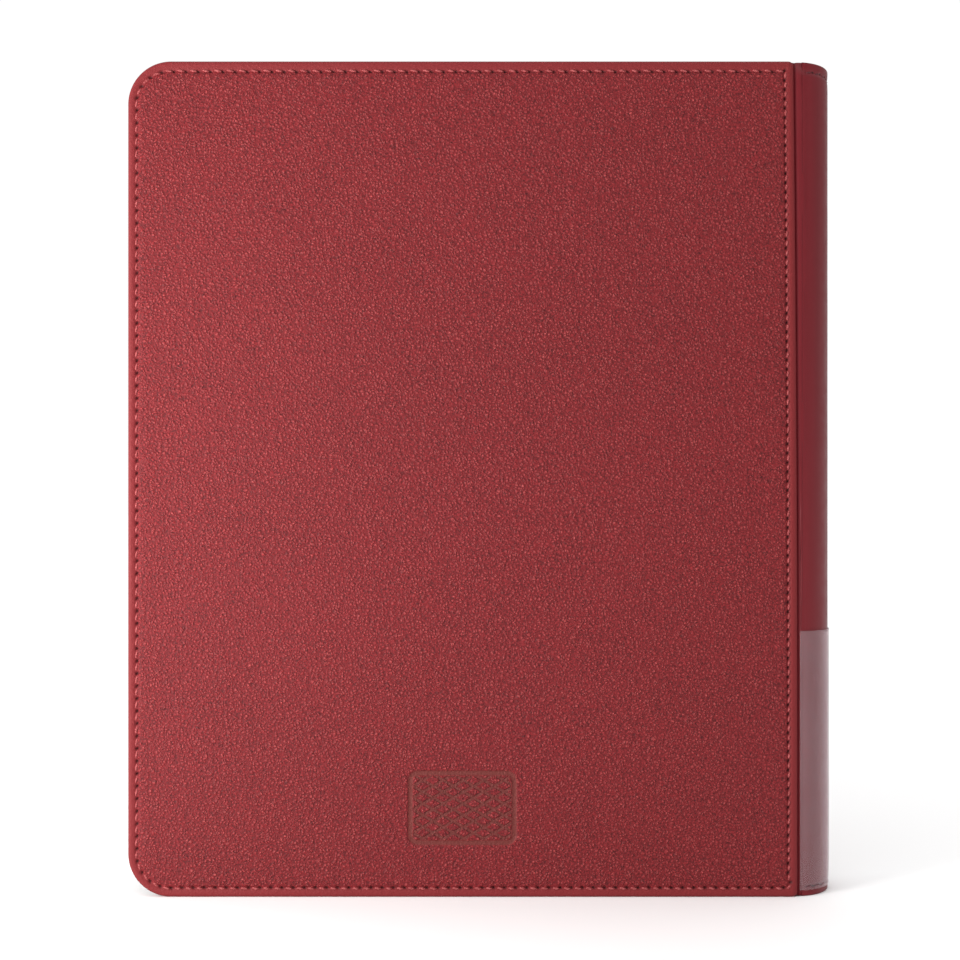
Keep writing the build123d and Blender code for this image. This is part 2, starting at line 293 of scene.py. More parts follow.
def mark_points():
    """Points on both sides of the debossed frame's line, close enough to press it in."""
    points = []
    for off in (-1.9, -1.3, -1.0, -0.65, 0.0, 0.65, 1.0, 1.3, 1.9):
        lo, hi = mark_lo - off, mark_hi + off
        r = max(mark_radius + off, 0.4)
        for k in range(4):
            cx = (hi[0] - r, lo[0] + r, lo[0] + r, hi[0] - r)[k]
            cz = (hi[1] - r, hi[1] - r, lo[1] + r, lo[1] + r)[k]
            for a in np.radians(np.linspace(90 * k, 90 * k + 90, 9)):
                points.append((cx + r * math.cos(a), cz + r * math.sin(a)))
        for x in np.arange(lo[0] + r + 1, hi[0] - r, 1.2):
            points += [(x, lo[1]), (x, hi[1])]
        for z in np.arange(lo[1] + r + 1, hi[1] - r, 1.2):
            points += [(lo[0], z), (hi[0], z)]
    return points


def face_points(with_mark):
    """A loose net of points over the panel's face, closer along the debossed frame."""
    points = []
    gap = face_inset + 4.0
    for x in np.arange(skin_lo[0] + gap, edge_x - gap, 4.5):
        for z in np.arange(gap, height - gap, 4.5):
            if with_mark and mark_distance(np.array([x]), np.array([z]))[0] < 3.0:
                continue
            points.append((x + rng.uniform(-0.6, 0.6), z + rng.uniform(-0.6, 0.6)))
    return points + mark_points() if with_mark else points


def panel_mesh(seed, with_mark):
    """Padded leatherette panel of the back cover, turned over the board's edges."""
    rings, rim_rings = panel_rings()
    count = len(rings[0][0])
    verts, inset_of, hinge_of = [], [], []
    for pts, depth, h, inset in rings:
        verts.append(np.column_stack([pts[:, 0], -half_thickness + depth, pts[:, 1]]))
        inset_of.append(np.full(count, inset))
        hinge_of.append(h)
    faces = grid_faces(len(rings), count, close_columns=True)

    # the face inside the last ring
    edges = [(i, (i + 1) % count) for i in range(count)]
    flat = np.vstack([rings[-1][0], np.array(face_points(with_mark))])
    out, _, tris, orig, _, _ = delaunay_2d_cdt([tuple(p) for p in flat], edges, [], 1, 1e-7)
    first, base = (len(rings) - 1) * count, len(rings) * count
    index, extra = {}, []
    for k, sources in enumerate(orig):
        ringed = [i for i in sources if i < count]
        if ringed:
            index[k] = first + ringed[0]
        else:
            index[k] = base + len(extra)
            extra.append((out[k][0], -half_thickness, out[k][1]))
    faces += [tuple(index[k] for k in tri) for tri in tris]
    verts = np.vstack(verts + [np.array(extra)])
    inset_of = np.concatenate(inset_of + [np.full(len(extra), 30.0)])

    # press in the seam's valley, its needle holes, slow waves and the debossed frame
    x, z = verts[:, 0].copy(), verts[:, 2].copy()
    outer = np.ones(len(verts))
    outer[: rim_rings * count] = 0
    off_seam = inset_of - seam_inset - top_seam_drop * (z > head_z)
    valley = 0.30 * np.exp(-(off_seam / 0.8) ** 2) + 0.12 * np.exp(-(off_seam / 2.4) ** 2)
    holes = hole_mask(x, z) * (np.abs(off_seam) < 2)
    dip = outer * (valley + 0.85 * holes)
    dip += outer * 0.07 * np.exp(-(off_seam / 1.6) ** 2) * (1 + smooth_noise(x, z, seed + 3, 9.0))
    dip += outer * 0.10 * (1 + smooth_noise(x, z, seed, 70.0)) * np.clip(inset_of / 12, 0, 1)
    stamp = np.zeros(len(verts))
    field = np.zeros(len(verts))
    if with_mark:
        inside = (x > mark_lo[0]) & (x < mark_hi[0]) & (z > mark_lo[1]) & (z < mark_hi[1])
        field = inside * np.clip(mark_distance(x, z) / 0.6 - 1.4, 0, 1)
        stamp = np.clip(2.2 - mark_distance(x, z) / 0.55, 0, 1) * (inset_of > 20)
        dip += 0.3 * stamp
    verts[:, 1] += dip + 0.01 * outer
    verts[:, 0] += lean(x, z)
    grain = np.clip((inset_of - 2.2) / 3.0, 0.25, 1) * (1 - 0.6 * stamp)
    grain[: rim_rings * count] = 0.3
    # the needle-hole mask also goes out as an attribute that paints shade into the holes
    return verts, faces, {"hole_shade": holes * outer, "grain": grain, "stamp": stamp, "field": field}


# ---------------------------------------------------------------- stitches
def stitch_points(centre, along, across, up, length, width, sink, rings, sides):
    """One thread stitch: a two-ply bead whose ends dive into their needle holes."""
    twist = 2.6 * math.pi
    verts = []
    for i in range(rings):
        t = -1 + 2 * i / (rings - 1)
        r = math.sqrt(max(1 - abs(t) ** 3.2, 0.02))
        mid = centre + along * (t * length / 2) - up * (sink * abs(t) ** 2.5)
        for j in range(sides):
            a = 2 * math.pi * j / sides
            ply = 1 + 0.16 * math.cos(2 * a - twist * t)
            thick = width * r * ply
            verts.append(mid + across * (thick / 2 * math.cos(a)) + up * (thick * 0.42 * math.sin(a)))
    return verts


def stitches(name, places, material, width, sink=0.55, mirror=False):
    """Many stitches in one piece. places holds (centre, along, outward-across, up, pitch) for each."""
    verts, faces = [], []
    rings, sides = 11, 8
    c, s = math.cos(stitch_tilt), math.sin(stitch_tilt)
    for centre, along, across, up, pitch in places:
        direction = along * c + across * s
        sideways = across * c - along * s
        length = pitch * 0.68 * (1 + rng.uniform(-0.06, 0.06))
        start = len(verts)
        verts += stitch_points(centre, direction, sideways, up, length, width, sink, rings, sides)
        faces += grid_faces(rings, sides, close_columns=True, start=start)
        faces.append(tuple(start + j for j in reversed(range(sides))))
        faces.append(tuple(start + (rings - 1) * sides + j for j in range(sides)))
    verts = np.array(verts)
    if mirror:
        verts, faces = mirrored(verts, faces)
    return new_object(name, verts, faces, [material])


def cover_seam_places(depth, up, leaning):
    """Stitch places along the back cover's seam, at a depth behind its outer face. The outer run follows the
    panel's lean; the bobbin run inside keeps to the board."""
    out = []
    for (x, z), (ax, az), (nx, nz), pitch in zip(stitch_mid, stitch_along, stitch_out, stitch_step):
        if leaning:
            x = x + lean(x, z) + 0.4 * abs(nz)
        else:
            z = z + top_seam_drop * (z > head_z)
        out.append((np.array([x, -half_thickness + depth, z]), np.array([ax, 0, az]), np.array([nx, 0, nz]),
                    np.array([0, up, 0]), pitch))
    return out


# ---------------------------------------------------------------- the rounded spine
def ellipse_points(a, b, start_x, columns=spine_columns):
    """Evenly spaced points on the half-ellipse from the back cover's side round to the front's, with the
    outward direction at each."""
    first = math.acos((start_x - edge_x) / a)
    fine = np.linspace(-first, first, 2001)
    xy = np.column_stack([edge_x + a * np.cos(fine), b * np.sin(fine)])
    length = np.concatenate([[0], np.cumsum(np.linalg.norm(np.diff(xy, axis=0), axis=1))])
    phi = np.interp(np.linspace(0, length[-1], columns), length, fine)
    pts = np.column_stack([edge_x + a * np.cos(phi), b * np.sin(phi)])
    nrm = np.column_stack([np.cos(phi) / a, np.sin(phi) / b])
    return pts, nrm / np.linalg.norm(nrm, axis=1)[:, None], length[-1]


def spine_stitch_places(a, b, start_x, z):
    """Stitch places across the spine at a height, and the arc position of each needle hole."""
    _, _, length = ellipse_points(a, b, start_x)
    count = round((length - 1.5) / spine_pitch)
    at = (np.arange(count) + 0.5) * (length - 1.5) / count + 0.75
    fine_pts, fine_nrm, _ = ellipse_points(a, b, start_x, 801)
    out = []
    for s in at:
        k = int(round(s / length * 800))
        n = np.array([fine_nrm[k][0], fine_nrm[k][1], 0.0])
        t = np.array([-n[1], n[0], 0.0])
        out.append((np.array([fine_pts[k][0], fine_pts[k][1], z]), t, np.array([0, 0, 1.0]), n, spine_pitch))
    return out, (at[:-1] + at[1:]) / 2 / length


def rows_between(stops):
    """Heights from a list of (from, to, step)."""
    out = []
    for lo, hi, step in stops:
        out += list(np.arange(lo, hi, step))
    return out + [stops[-1][1]]


def arc_faces(rows):
    """Faces of a closed loop of rows swept round the spine, with both ends filled."""
    faces = [tuple(reversed(f)) for f in grid_faces(rows, spine_columns, close_rows=True)]
    faces.append(tuple(i * spine_columns for i in range(rows)))
    faces.append(tuple(i * spine_columns + spine_columns - 1 for i in reversed(range(rows))))
    return faces


def sweep(loop, start_x, shift):
    """Sweeps a closed loop of (offset into the spine, height) points round the spine's half-ellipse.
    shift(offset, height, share along the arc) moves each point outwards."""
    share = np.linspace(0, 1, spine_columns)
    verts = []
    for t, z in loop:
        pts, nrm, _ = ellipse_points(spine_a - t, spine_b - t, start_x)
        out = shift(t, z, share)
        verts.append(np.column_stack([pts + nrm * out[:, None], np.full(spine_columns, z)]))
    return np.vstack(verts), arc_faces(len(loop))


def arc_holes(z, seam_z, share, hole_share, length, side):
    """Mask of the needle holes across the spine at one height, which presses them in and marks the shade
    painted into them. side is -1 at the foot's seam and 1 at the head's.
    """
    mask = np.zeros(len(share))
    for h in hole_share:
        u = (share - h) * length
        v = z - seam_z - side * 0.3
        mask = np.maximum(mask, np.exp(-((u / 0.62) ** 2 + (v / 0.34) ** 2)))
    return mask


def spine_skin_mesh():
    """Smooth spine leather, turned in over both ends."""
    seams = (spine_seam_inset, height - spine_seam_inset)
    heights = rows_between([(0.62, 2.2, 0.4), (2.2, 5.8, 0.22), (5.8, 12, 1.2), (12, height - 12, 7.6),
                            (height - 12, height - 5.8, 1.2), (height - 5.8, height - 2.2, 0.22),
                            (height - 2.2, height - 0.62, 0.4)])
    top = [(0.06, height - 0.36), (0.22, height - 0.15), (0.46, height - 0.03), (0.8, height), (1.9, height),
           (2.2, height - 0.06), (2.45, height - 0.28), (2.54, height - 0.62), (2.54, height - 10.6),
           (2.44, height - 11)]
    inside = [(1.0, height - 11), (1.0, 11)]
    foot = [(t, height - z) for t, z in reversed(top)]
    loop = [(0.0, z) for z in heights] + top + inside + foot
    _, _, length = ellipse_points(spine_a, spine_b, spine_lo[0])
    _, hole_share = spine_stitch_places(spine_a, spine_b, spine_lo[0], 0)
    masks = []

    def shift(t, z, share):
        mask = np.zeros(len(share))
        if t > 0:
            masks.append(mask)
            return -0.02 * np.ones(len(share))
        out = -0.03 + 0.03 * smooth_noise(share * length, np.full(len(share), z), 21, 26.0)
        out = out - 0.012 * (1 + smooth_noise(share * length, np.full(len(share), z * 0.12), 22, 7.0))
        for seam, side in zip(seams, (-1, 1)):
            out = out - 0.26 * math.exp(-((z - seam) / 0.75) ** 2) - 0.1 * math.exp(-((z - seam) / 2.2) ** 2)
            if abs(z - seam) < 2:
                m = arc_holes(z, seam, share, hole_share, length, side)
                out = out - 0.55 * m
                mask = np.maximum(mask, m)
        masks.append(mask)
        return out

    verts, faces = sweep(loop, spine_lo[0], shift)
    # the needle-hole masks go out as an attribute that paints shade into the holes
    return verts, faces, {"hole_shade": np.concatenate(masks)}


def label_film_mesh():
    """Clear film over the foot of the spine: sewn below, welded at both sides and open above."""
    lo, hi = label_lo[2], label_hi[2]
    heights = rows_between([(lo, 2.9, 0.2), (2.9, 5.0, 0.22), (5.0, 9, 0.8), (9, hi - 3, 3.7),
                            (hi - 3, hi, 1.0)])
    loop = [(0, z) for z in heights] + [(1, z) for z in reversed(heights)]
    seam = spine_thread_lo[2] + half_thread
    _, _, skin_length = ellipse_points(spine_a, spine_b, spine_lo[0])
    _, hole_share = spine_stitch_places(spine_a, spine_b, spine_lo[0], 0)
    pts, nrm, length = ellipse_points(spine_a, spine_b, film_start)
    hole_share = 0.5 + (hole_share - 0.5) * skin_length / length
    share = np.linspace(0, 1, spine_columns)
    side = np.minimum(share, 1 - share) * length
    verts, masks = [], []
    for layer, z in loop:
        lift = 0.58 - 0.26 * np.exp(-(side / 2.2) ** 2) - 0.18 * math.exp(-max(z - 5.5, 0) ** 2 / 8)
        lift = lift - 0.03 * (1 + smooth_noise(share * length, np.full(len(share), z * 0.25), 31, 9.0))
        lift = lift - 0.16 * math.exp(-((z - seam) / 0.7) ** 2)
        near = abs(z - seam) < 2
        hole_shade = arc_holes(z, seam, share, hole_share, length, -1) if near else np.zeros(len(share))
        lift = lift - 0.2 * hole_shade - 0.14 * layer
        verts.append(np.column_stack([pts + nrm * lift[:, None], np.full(spine_columns, z)]))
        masks.append(hole_shade)
    # the needle-hole masks go out as an attribute that paints shade into the holes
    return np.vstack(verts), arc_faces(len(loop)), {"hole_shade": np.concatenate(masks)}


# ---------------------------------------------------------------- bending strips
def strip_mesh(path_at, thickness, z0, z1, rows, wave=0.0, seed=0):
    """Strip along Z: path_at(z) gives its middle line's x, y at a height."""
    verts = []
    for z in np.linspace(z0, z1, rows):
        path = np.array(path_at(z), float)
        step = np.gradient(path, axis=0)
        step /= np.linalg.norm(step, axis=1)[:, None]
        side = np.column_stack([-step[:, 1], step[:, 0]])
        loop = np.vstack([path + side * thickness / 2, (path - side * thickness / 2)[::-1]])
        n = len(loop)
        shift = wave * smooth_noise(loop[:, 0], np.full(n, z), seed, 40.0)
        verts.append(np.column_stack([loop[:, 0], loop[:, 1] + shift, np.full(n, z)]))
    faces = grid_faces(rows, n, close_columns=True)
    faces.append(tuple(reversed(range(n))))
    faces.append(tuple((rows - 1) * n + i for i in range(n)))
    return np.vstack(verts), faces


def smooth_path(points, count):
    """Smooth path through a few points, as a Catmull-Rom spline."""
    pts = np.array(points, float)
    keys = np.concatenate([[0], np.cumsum(np.linalg.norm(np.diff(pts, axis=0), axis=1))])
    fine = []
    for t in np.linspace(0, keys[-1], count):
        k = int(np.clip(np.searchsorted(keys, t) - 1, 0, len(pts) - 2))
        u = (t - keys[k]) / (keys[k + 1] - keys[k])
        p0, p1, p2, p3 = pts[max(k - 1, 0)], pts[k], pts[k + 1], pts[min(k + 2, len(pts) - 1)]
        fine.append(0.5 * (2 * p1 + (p2 - p0) * u + (2 * p0 - 5 * p1 + 4 * p2 - p3) * u ** 2
                           + (3 * p1 - p0 - 3 * p2 + p3) * u ** 3))
    return np.array(fine)


def hinge_path(z):
    """The back hinge leather at a height: tucked under the panel, down into the joint and up to the spine's
    curve. It sinks under the spine's leather near both spine seams."""
    edge = edge_x + lean(edge_x, z)
    sink = 0.4 * math.exp(-((min(z, height - z) - spine_seam_inset) / 3.2) ** 2)
    along_spine = ((edge + 1.75, 0), (hinge_x + 0.4, 0.3 * sink), (hinge_x + 1.2, sink),
                   (hinge_x + 2.2, sink))
    rise = [(x, -(spine_b - 0.46 - down) * math.sqrt(1 - max((x - edge_x) / spine_a, 0) ** 2))
            for x, down in along_spine]
    return smooth_path([(flap_lo[0], -hinge_y), (edge - 2, -hinge_y), (edge - 0.35, -hinge_y + 0.08),
                        (edge + 0.4, -hinge_y + 0.5), (edge + 1.15, -hinge_y + 0.1)] + rise, 64)


def lining_hinge_path():
    """Lining cloth from the back cover, pressed into the joint and on to the spine lining."""
    y = lining_inner_y
    return smooth_path([(edge_x - 4.5, y + 0.12), (edge_x - 0.8, y + 0.1), (edge_x + 0.4, y - 0.5),
                        (hinge_x, y - 0.95), (hinge_x + 1.0, y - 0.35), (hinge_x + 1.9, y + 0.45),
                        (hinge_x + 2.6, y + 0.75)], 44)


# ---------------------------------------------------------------- materials
def colour(r, g, b):
    """Linear colour from 0-255 screen values."""
    linear = [((v / 255 + 0.055) / 1.055) ** 2.4 if v > 10 else v / 255 / 12.92 for v in (r, g, b)]
    return (*linear, 1.0)


class Nodes:
    """A new material's node tree, with short calls for the nodes used here."""

    def __init__(self, name, roughness, specular=0.5):
        self.material = bpy.data.materials.new(name)
        self.material.use_nodes = True
        self.tree = self.material.node_tree
        self.shader = self.tree.nodes["Principled BSDF"]
        self.shader.inputs["Roughness"].default_value = roughness
        self.shader.inputs["Specular IOR Level"].default_value = specular
        self.place = self.add("ShaderNodeTexCoord").outputs["Object"]

    def add(self, kind, **settings):
        node = self.tree.nodes.new(kind)
        for key, value in settings.items():
            setattr(node, key, value)
        return node

    def link(self, a, b):
        self.tree.links.new(a, b)

    def put(self, value, socket):
        if hasattr(value, "is_output"):
            self.link(value, socket)
        else:
            socket.default_value = value

    def stretched(self, x, y, z):
        node = self.add("ShaderNodeMapping")
        node.inputs["Scale"].default_value = (x, y, z)
        self.link(self.place, node.inputs["Vector"])
        return node.outputs["Vector"]

    def noise(self, scale, detail=3.0, rough=0.5, vector=None):
        node = self.add("ShaderNodeTexNoise")
        node.inputs["Scale"].default_value = scale
        node.inputs["Detail"].default_value = detail
        node.inputs["Roughness"].default_value = rough
        self.link(vector or self.place, node.inputs["Vector"])
        return node.outputs["Fac"]

    def cells(self, scale, feature="DISTANCE_TO_EDGE", vector=None):
        node = self.add("ShaderNodeTexVoronoi", feature=feature)
        node.inputs["Scale"].default_value = scale
        self.link(vector or self.place, node.inputs["Vector"])
        return node.outputs["Distance"]

    def ramp(self, value, lo, hi, to_lo=0.0, to_hi=1.0):
        node = self.add("ShaderNodeMapRange")
        for key, v in (("From Min", lo), ("From Max", hi), ("To Min", to_lo), ("To Max", to_hi)):
            node.inputs[key].default_value = v
        self.put(value, node.inputs["Value"])
        return node.outputs["Result"]

    def math(self, operation, a, b=0.0):
        node = self.add("ShaderNodeMath", operation=operation)
        self.put(a, node.inputs[0])
        self.put(b, node.inputs[1])
        return node.outputs["Value"]

    def mix(self, factor, a, b):
        node = self.add("ShaderNodeMix", data_type="RGBA")
        self.put(factor, node.inputs["Factor"])
        self.put(a, node.inputs["A"])
        self.put(b, node.inputs["B"])
        return node.outputs["Result"]

    def attribute(self, name):
        return self.add("ShaderNodeAttribute", attribute_name=name).outputs["Fac"]

    def along(self, x, z, start_mm=0.0):
        """Distance in millimetres from a start line, in the direction (x, z)."""
        node = self.add("ShaderNodeVectorMath", operation="DOT_PRODUCT")
        self.link(self.place, node.inputs[0])
        node.inputs[1].default_value = (x / MM, 0, z / MM)
        return self.math("SUBTRACT", node.outputs["Value"], start_mm)

    def repeat(self, distance, pitch, half_width, soft):
        """1 within half_width of every line at that pitch, fading to 0."""
        return self.ramp(self.math("PINGPONG", distance, pitch / 2), half_width, half_width + soft, 1.0, 0.0)

    def bump(self, height, distance_mm, strength=1.0):
        node = self.add("ShaderNodeBump")
        node.inputs["Strength"].default_value = strength
        node.inputs["Distance"].default_value = distance_mm * MM
        self.link(height, node.inputs["Height"])
        return node.outputs["Normal"]

    def finish(self, base, normal=None, roughness=None):
        self.put(base, self.shader.inputs["Base Color"])
        if normal is not None:
            self.link(normal, self.shader.inputs["Normal"])
        if roughness is not None:
            self.link(roughness, self.shader.inputs["Roughness"])
        return self.material


def grained_leather():
    """Red-brown leatherette with a fine pebble grain. Light is painted into its colour: a highlight on each
    pebble's crown, shade in the creases and needle holes, and a sheen on the turned edge.
    """
    n = Nodes("grained_leatherette", 0.56, 0.27)
    drift = n.add("ShaderNodeVectorMath", operation="MULTIPLY_ADD")
    wobble = n.add("ShaderNodeTexNoise")
    wobble.inputs["Scale"].default_value = 420
    n.link(n.place, wobble.inputs["Vector"])
    n.link(wobble.outputs["Color"], drift.inputs[0])
    drift.inputs[1].default_value = (0.0019, 0.0019, 0.0019)
    n.link(n.place, drift.inputs[2])
    net = n.cells(900, vector=drift.outputs[0])
    middle = n.cells(900, "F1", vector=drift.outputs[0])
    lumps = n.noise(1100, 2.0, 0.55)
    relief = n.math("ADD", n.ramp(middle, 0.62, 0.1), n.math("MULTIPLY", lumps, 0.7))
    amount = n.math("MULTIPLY", n.attribute("grain"), n.ramp(n.noise(45, 2.0), 0.3, 0.7, 0.9, 1.0))
    relief = n.math("MULTIPLY", relief, amount)
    # painted highlight: the colour lightens on each pebble's crown, following the grain's bump
    crown_highlight = n.math("MULTIPLY", n.ramp(middle, 0.36, 0.08), n.ramp(lumps, 0.35, 0.6))
    # painted shade: the colour darkens in the creases between the pebbles
    crease = n.math("MULTIPLY", n.ramp(net, 0.0, 0.2, 1.0, 0.0), n.ramp(lumps, 0.62, 0.4, 0.35, 1.0))
    tint = n.mix(n.ramp(n.noise(7, 2.0), 0.3, 0.7), colour(118, 24, 29), colour(123, 26, 31))
    tint = n.mix(n.math("MULTIPLY", crown_highlight, amount), tint, colour(170, 69, 67))
    tint = n.mix(n.math("MULTIPLY", crease, amount), tint, colour(60, 4, 8))
    # the turned edge is smoother, and its colour is a little paler there as a painted sheen on the rounded
    # edge
    tint = n.mix(n.ramp(n.attribute("grain"), 0.32, 0.5, 0.8, 0.0), tint, colour(113, 29, 32))
    # a plain diamond lattice fills the debossed frame
    lattice = n.math("MAXIMUM", n.repeat(n.along(0.5, 0.866), 4.0, 0.42, 0.3),
                     n.repeat(n.along(0.5, -0.866), 4.0, 0.42, 0.3))
    lattice = n.math("MULTIPLY", lattice, n.attribute("field"))
    pressed = n.math("MAXIMUM", n.attribute("stamp"), lattice)
    tint = n.mix(n.math("MULTIPLY", pressed, 0.75), tint, colour(92, 42, 36))
    # painted shade: the needle holes are darkened in the colour
    tint = n.mix(n.attribute("hole_shade"), tint, colour(24, 2, 4))
    relief = n.math("SUBTRACT", relief, lattice)
    rough = n.ramp(relief, 0.3, 1.4, 0.66, 0.48)
    return n.finish(tint, n.bump(relief, 0.34, 1.0), rough)


def satin_leather(name, base, deep, shine):
    """Smooth satin leatherette of the spine and the hinges."""
    n = Nodes(name, shine, 0.26)
    streak = n.noise(190, 2.0, vector=n.stretched(1, 1, 0.02))
    tint = n.mix(n.ramp(streak, 0.3, 0.7), base, deep)
    tint = n.mix(n.ramp(n.noise(60, 4.0), 0.35, 0.8, 0.0, 0.3), tint, deep)
    # painted shade: the needle holes are darkened in the colour
    tint = n.mix(n.attribute("hole_shade"), tint, colour(30, 4, 6))
    fine = n.math("ADD", n.math("MULTIPLY", n.noise(2600, 2.0), 0.5), n.math("MULTIPLY", streak, 0.6))
    rough = n.ramp(n.noise(240, 3.0), 0.3, 0.7, shine - 0.05, shine + 0.07)
    return n.finish(tint, n.bump(fine, 0.03, 0.6), rough)


def thread_material(name, dark, light):
    """Twisted polyester thread, with a painted highlight on the plies' raised crowns."""
    n = Nodes(name, 0.62, 0.25)
    ply = n.noise(2400, 2.0)
    # painted highlight: the colour lightens where the ply bump rises
    tint = n.mix(n.ramp(ply, 0.35, 0.7), dark, light)
    return n.finish(tint, n.bump(ply, 0.05, 0.7))


def film_material(name, base, alpha, roughness, haze, sheen=0.0, welded=False):
    """Clear film: mostly see-through, with faint haze, soft ripples and a milky sheen at a slant.
    A welded one carries the pockets' dotted weld lines."""
    n = Nodes(name, roughness, 0.95)
    n.shader.inputs["IOR"].default_value = 1.52
    relief = n.noise(55, 2.0, vector=n.stretched(1, 1, 0.12))
    clear = n.ramp(n.noise(34, 3.0), 0.3, 0.7, alpha - haze, alpha + haze)
    if sheen:
        slant = n.math("POWER", n.add("ShaderNodeLayerWeight").outputs["Facing"], 3.0)
        clear = n.math("ADD", clear, n.math("MULTIPLY", slant, sheen))
    if welded:
        rows = n.repeat(n.along(0, 1, pocket_lo[2] + row_weld / 2), pocket_row_pitch, 1.7, 0.15)
        columns = n.repeat(n.along(1, 0, pocket_lo[0] + column_weld / 2), pocket_column_pitch, 1.2, 0.15)
        weld = n.math("MAXIMUM", rows, columns)
        dots = n.math("MULTIPLY", n.repeat(n.along(0.707, 0.707), 1.2, 0.24, 0.2),
                      n.repeat(n.along(0.707, -0.707), 1.2, 0.24, 0.2))
        clear = n.math("ADD", clear, n.math("MULTIPLY", weld, n.ramp(dots, 0.0, 1.0, 0.1, 0.34)))
        pressed = n.math("MULTIPLY", weld, n.ramp(dots, 0.0, 1.0, 0.4, 1.0))
        relief = n.math("SUBTRACT", n.math("MULTIPLY", relief, 0.5), pressed)
    # painted shade at the needle holes: the film turns more opaque there and darker
    clear = n.math("MAXIMUM", clear, n.math("MULTIPLY", n.attribute("hole_shade"), 0.7))
    n.link(clear, n.shader.inputs["Alpha"])
    tint = n.mix(n.attribute("hole_shade"), base, colour(60, 24, 30))
    n.material.surface_render_method = "BLENDED"
    return n.finish(tint, n.bump(relief, 0.12, 0.5))


def page_plastic():
    """Dark polypropylene page sheet with a fine leather-like texture."""
    n = Nodes("page_plastic", 0.5, 0.4)
    grit = n.cells(1700, "F1")
    tint = n.mix(n.ramp(n.noise(300, 3.0), 0.3, 0.7), colour(24, 24, 26), colour(33, 33, 35))
    return n.finish(tint, n.bump(grit, 0.04, 0.5), n.ramp(n.noise(420, 2.0), 0.3, 0.7, 0.42, 0.56))


def moulded_plastic(name, dark, light):
    """Matt moulded plastic strip."""
    n = Nodes(name, 0.5, 0.4)
    tint = n.mix(n.ramp(n.noise(150, 4.0), 0.3, 0.7), dark, light)
    return n.finish(tint, n.bump(n.noise(1800, 2.0), 0.02, 0.5))


def woven(name, dark, light, threads_mm=0.5):
    """Fine plain-weave cloth."""
    n = Nodes(name, 0.85, 0.2)
    turns = 1 / (threads_mm * MM) / 2
    warp = n.add("ShaderNodeTexWave", wave_type="BANDS", bands_direction="X")
    weft = n.add("ShaderNodeTexWave", wave_type="BANDS", bands_direction="Z")
    for wave in (warp, weft):
        wave.inputs["Scale"].default_value = turns * 2 * math.pi / 20
        wave.inputs["Distortion"].default_value = 0.25
        wave.inputs["Detail"].default_value = 1.0
        n.link(n.place, wave.inputs["Vector"])
    cloth = n.math("MULTIPLY", warp.outputs["Fac"], weft.outputs["Fac"])
    tint = n.mix(n.ramp(cloth, 0.0, 0.8), dark, light)
    tint = n.mix(n.ramp(n.noise(40, 3.0), 0.35, 0.75, 0.0, 0.35), tint, dark)
    return n.finish(tint, n.bump(cloth, 0.06, 0.6))


def greyboard():
    """Pressed grey paperboard."""
    n = Nodes("greyboard", 0.9, 0.15)
    tint = n.mix(n.ramp(n.noise(500, 4.0), 0.3, 0.7), colour(128, 122, 112), colour(164, 158, 147))
    return n.finish(tint, n.bump(n.noise(900, 3.0), 0.05, 0.6))


def brushed_steel():
    """Turned rivet heads."""
    n = Nodes("rivet_steel", 0.32)
    n.shader.inputs["Metallic"].default_value = 1.0
    scratch = n.noise(900, 3.0, vector=n.stretched(0.15, 1, 1))
    tint = n.mix(n.ramp(scratch, 0.3, 0.7), colour(150, 150, 154), colour(190, 190, 194))
    return n.finish(tint, n.bump(scratch, 0.01, 0.5), n.ramp(scratch, 0.3, 0.7, 0.26, 0.42))


grained = grained_leather()
spine_leather = satin_leather("spine_leatherette", colour(111, 22, 31), colour(102, 17, 26), 0.42)
thread = thread_material("cover_thread", colour(118, 36, 38), colour(176, 90, 90))
spine_thread = thread_material("spine_seam_thread", colour(74, 24, 30), colour(104, 50, 56))
label_film = film_material("label_film", colour(184, 152, 158), 0.15, 0.12, 0.02, sheen=0.9)
pocket_film = film_material("pocket_film", colour(206, 214, 222), 0.05, 0.14, 0.015, welded=True)
sheet_plastic = page_plastic()
spacer_plastic = moulded_plastic("spacer_plastic", colour(26, 26, 28), colour(38, 38, 40))
plate_plastic = moulded_plastic("plate_plastic", colour(34, 34, 36), colour(48, 48, 50))
lining_cloth = woven("lining_cloth", colour(22, 21, 23), colour(52, 50, 53))
tape_cloth = woven("binding_tape_cloth", colour(28, 27, 30), colour(66, 64, 68), 0.8)
board = greyboard()
steel = brushed_steel()


def paint(node, material):
    """Gives a CAD node's object a better material."""
    for slot in nodes[node].material_slots:
        slot.material = material


